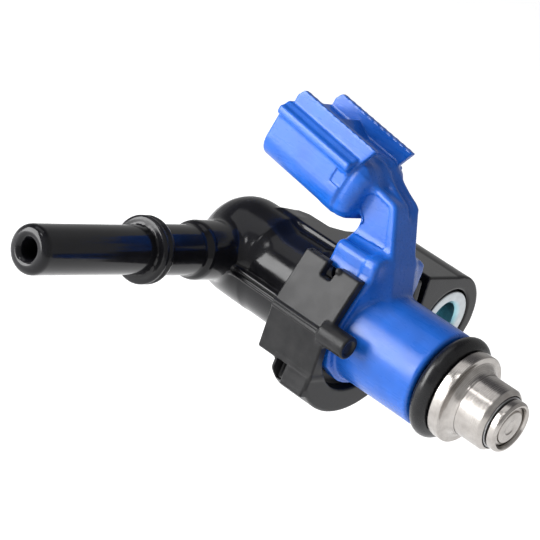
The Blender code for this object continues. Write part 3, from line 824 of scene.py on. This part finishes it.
# %% [markdown]
# ### Black nylon, clip plastic and blue nylon
#
# The joint comes from a polished tool, so it is deep black with a soft gloss that waves a
# little over a few millimetres. The clip's plastic is duller: a fine grain and pale rubbed
# patches. The blue nylon holds glass fibre, which shows as faint streaks along the flow.

# %% Moulded plastics
finishes = {}

black = Finish("black_nylon", shine=0.27)
slow, fine = black.noise(5.0), black.noise(0.5, 4.0)
swell = black.bump(slow, 0.05, 0.35)
finishes["black_nylon"] = black.wear(
    black.colours(slow, (0.004, 0.004, 0.005), (0.008, 0.008, 0.010)),
    black.between(black.noise(1.6), 0.10, 0.20),
    black.bump(fine, 0.004, 0.5, swell))

grey = Finish("clip_plastic", shine=0.22)
grain, rub = grey.noise(0.22, 4.0), grey.noise(2.6, 5.0)
finishes["clip_plastic"] = grey.wear(
    grey.colours(rub, (0.009, 0.009, 0.010), (0.019, 0.019, 0.020), 0.35, 0.7),
    grey.between(rub, 0.30, 0.42),
    grey.bump(grain, 0.012, 0.6, grey.bump(rub, 0.03, 0.3)))

blue = Finish("blue_nylon", shine=0.4)
fibres = blue.noise(0.8, 4.0, blue.stretched(0.22, 1.0, 1.0))
cloud = blue.noise(4.0)
finishes["blue_nylon"] = blue.wear(
    blue.colours(cloud, (0.005, 0.082, 0.40), (0.008, 0.104, 0.49)),
    blue.between(fibres, 0.24, 0.34),
    blue.bump(fibres, 0.006, 0.6, blue.bump(cloud, 0.03, 0.3)))

bobbin = Finish("bobbin_nylon")
speck = bobbin.noise(0.4)
finishes["bobbin_nylon"] = bobbin.wear(
    bobbin.colours(speck, (0.42, 0.39, 0.30), (0.55, 0.52, 0.42)),
    bobbin.between(speck, 0.42, 0.56), bobbin.bump(speck, 0.008, 0.5))

# %% [markdown]
# ### Rubber
#
# The seals are fluoro rubber with a film of assembly oil. They are nearly black, shine in a
# broad soft way and have a very fine leathery skin.

# %% Rubber
rubber = Finish("rubber", shine=0.35)
skin, film = rubber.noise(0.12, 3.0), rubber.noise(1.4)
finishes["rubber"] = rubber.wear(
    rubber.colours(film, (0.004, 0.004, 0.005), (0.008, 0.008, 0.009)),
    rubber.between(film, 0.22, 0.34), rubber.bump(skin, 0.008, 0.5))

# %% [markdown]
# ### Metals
#
# Turned stainless steel shows rings left by the tool. They are a noise read along the axis
# and the radius only, so it never changes round the part. The bush is zinc plated, and its
# bore is painted blue-green for the shade and the blue reflection in there. The other metals
# are inside, and each still gets its own colour, polish and marks.

# %% Turned stainless and zinc
stainless = Finish("stainless", 1.0)
marks, _ = stainless.lathe_marks()
stain = stainless.noise(1.8)
finishes["stainless"] = stainless.wear(
    stainless.colours(stain, (0.38, 0.355, 0.335), (0.50, 0.475, 0.45)),
    stainless.between(marks, 0.16, 0.30), stainless.bump(marks, 0.006, 0.8))

zinc = Finish("zinc_steel", 1.0)
marks, radius = zinc.lathe_marks((EAR_Y, EAR_Z), 0.12)
# Painted shade and reflection: a blue-green colour is mixed over the plating in the bore and its
# chamfer, fading out by a radius of 4.2 mm.
bore = zinc.between(radius, 1.0, 0.0, 3.4 * MM, 4.2 * MM)
plating = zinc.colours(zinc.noise(1.2), (0.47, 0.50, 0.53), (0.56, 0.60, 0.62))
painted_bore_shade_and_reflection = zinc.colours(zinc.noise(2.0), (0.22, 0.46, 0.52), (0.36, 0.60, 0.66))
FACTOR, FIRST, SECOND, RESULT = 0, 6, 7, 2  # the colour sockets of a Mix node
painted_bore_mix = zinc.add("Mix", (), {FACTOR: bore, FIRST: plating, SECOND: painted_bore_shade_and_reflection}, data_type="RGBA")
finishes["zinc_steel"] = zinc.wear(
    painted_bore_mix.outputs[RESULT], zinc.between(marks, 0.26, 0.40), zinc.bump(marks, 0.006, 0.7))

# %% Metals inside
METALS = {
    "magnetic_steel": ((0.36, 0.36, 0.37), (0.48, 0.48, 0.49), 0.28, 0.42),
    "ball_steel": ((0.72, 0.72, 0.73), (0.80, 0.80, 0.81), 0.05, 0.10),
    "tinned_brass": ((0.66, 0.64, 0.56), (0.78, 0.76, 0.68), 0.22, 0.34),
    "brass": ((0.62, 0.44, 0.18), (0.74, 0.56, 0.26), 0.24, 0.38),
    "copper": ((0.62, 0.24, 0.10), (0.78, 0.36, 0.18), 0.22, 0.36),
}
for name, (dark, light, smooth, rough) in METALS.items():
    metal = Finish(name, 1.0)
    marks, _ = metal.lathe_marks(ring=0.1)
    tarnish = metal.noise(0.9)
    finishes[name] = metal.wear(metal.colours(tarnish, dark, light),
                                metal.between(marks, smooth, rough), metal.bump(marks, 0.005, 0.6))
print("finishes:", sorted(finishes))

# %% Put the finishes on
for obj, finish in dressed:
    obj.data.materials.clear()
    obj.data.materials.append(finishes[finish])
for name, node in frame["nodes"].items():
    for slot in node.material_slots:
        slot.material = finishes[FINISH_OF[name]]

# %% [markdown]
# ## Floor, light and camera
#
# The part is shown as in a catalogue: on white, with no hard shadow. A wide pale floor lies
# well below it and glows a little, so it stays white. One tall soft box stands to the left
# and draws the long highlights; the room gives the rest, and is dark only overhead, which
# keeps the top of the black nylon black.

# %% Camera
CAMERA_AT = Vector((190.24, -330.21, 117.28)) * MM
CAMERA_AXES = Matrix(((0.70846963, 0.5918714, 0.38439436),
                      (-0.48028904, 0.00527148, 0.87709444),
                      (0.51710078, -0.80601517, 0.28800403)))
lens = bpy.data.cameras.new("camera")
lens.lens, lens.sensor_width, lens.clip_start = 162.2, 36.0, 0.01
camera = bpy.data.objects.new("camera", lens)
camera.matrix_world = Matrix.Translation(CAMERA_AT) @ CAMERA_AXES.transposed().to_4x4()
bpy.context.scene.collection.objects.link(camera)
bpy.context.scene.camera = camera


# %% Soft boxes
def soft_box(name, turn, rise, away, width, height, radiance):
    """An area light that faces the part; turn and rise are degrees seen from the camera."""
    a, b = radians(turn), radians(rise)
    towards = CAMERA_AXES.transposed() @ Vector((sin(a) * cos(b), sin(b), cos(a) * cos(b)))
    data = bpy.data.lights.new(name, "AREA")
    data.shape, data.size, data.size_y = "RECTANGLE", width, height
    data.energy = radiance * pi * width * height
    up = CAMERA_AXES.transposed() @ Vector((0.0, 1.0, 0.0))
    side = up.cross(towards).normalized()
    axes = Matrix((side, towards.cross(side), towards)).transposed()
    light = bpy.data.objects.new(name, data)
    light.matrix_world = Matrix.Translation(towards * away) @ axes.to_4x4()
    bpy.context.scene.collection.objects.link(light)
    return light


KEY_AWAY = 0.5
key_width, key_height = (2 * KEY_AWAY * tan(radians(half)) for half in (18, 30))
soft_box("key_box", -68.0, 16.0, KEY_AWAY, key_width, key_height, 12.0)
soft_box("small_box", -20.0, 48.0, 0.6, 0.10, 0.10, 8.0)
soft_box("top_box", -30.0, 76.0, 0.5, 0.34, 0.26, 1.0)

# %% Floor
floor_data = bpy.data.meshes.new("floor")
FLOOR_R, FLOOR_Z, SIDES = 3.0, -0.07, 64
turns = [2 * pi * k / SIDES for k in range(SIDES)]
rim = [(FLOOR_R * cos(a), FLOOR_R * sin(a), FLOOR_Z) for a in turns]
floor_data.from_pydata(rim, [], [list(range(SIDES))])
floor = bpy.data.objects.new("floor", floor_data)
bpy.context.scene.collection.objects.link(floor)
paper = Finish("floor_paper")
paper.shader.inputs["Emission Color"].default_value = (1.0, 1.0, 1.0, 1.0)
paper.shader.inputs["Emission Strength"].default_value = 0.68
floor_data.materials.append(paper.wear(
    paper.colours(paper.noise(40.0), (0.80, 0.80, 0.80), (0.84, 0.84, 0.84)),
    paper.between(paper.noise(2.0), 0.7, 0.9)))

# %% Room
room = bpy.data.worlds.new("room")
bpy.context.scene.world = room
room.use_nodes = True
nodes, links = room.node_tree.nodes, room.node_tree.links
look = nodes.new("ShaderNodeTexCoord")
height = nodes.new("ShaderNodeVectorMath")
height.operation = "DOT_PRODUCT"
height.inputs[1].default_value = CAMERA_AXES[1]
ramp = nodes.new("ShaderNodeValToRGB")
first, last = ramp.color_ramp.elements
first.position, first.color = 0.62, (0.46, 0.46, 0.46, 1.0)
last.position, last.color = 0.88, (0.13, 0.13, 0.14, 1.0)
links.new(look.outputs["Generated"], height.inputs[0])
links.new(height.outputs["Value"], ramp.inputs["Fac"])
links.new(ramp.outputs["Color"], nodes["Background"].inputs["Color"])
bpy.context.scene.view_settings.view_transform = "Standard"
bpy.context.scene.view_settings.look = "None"
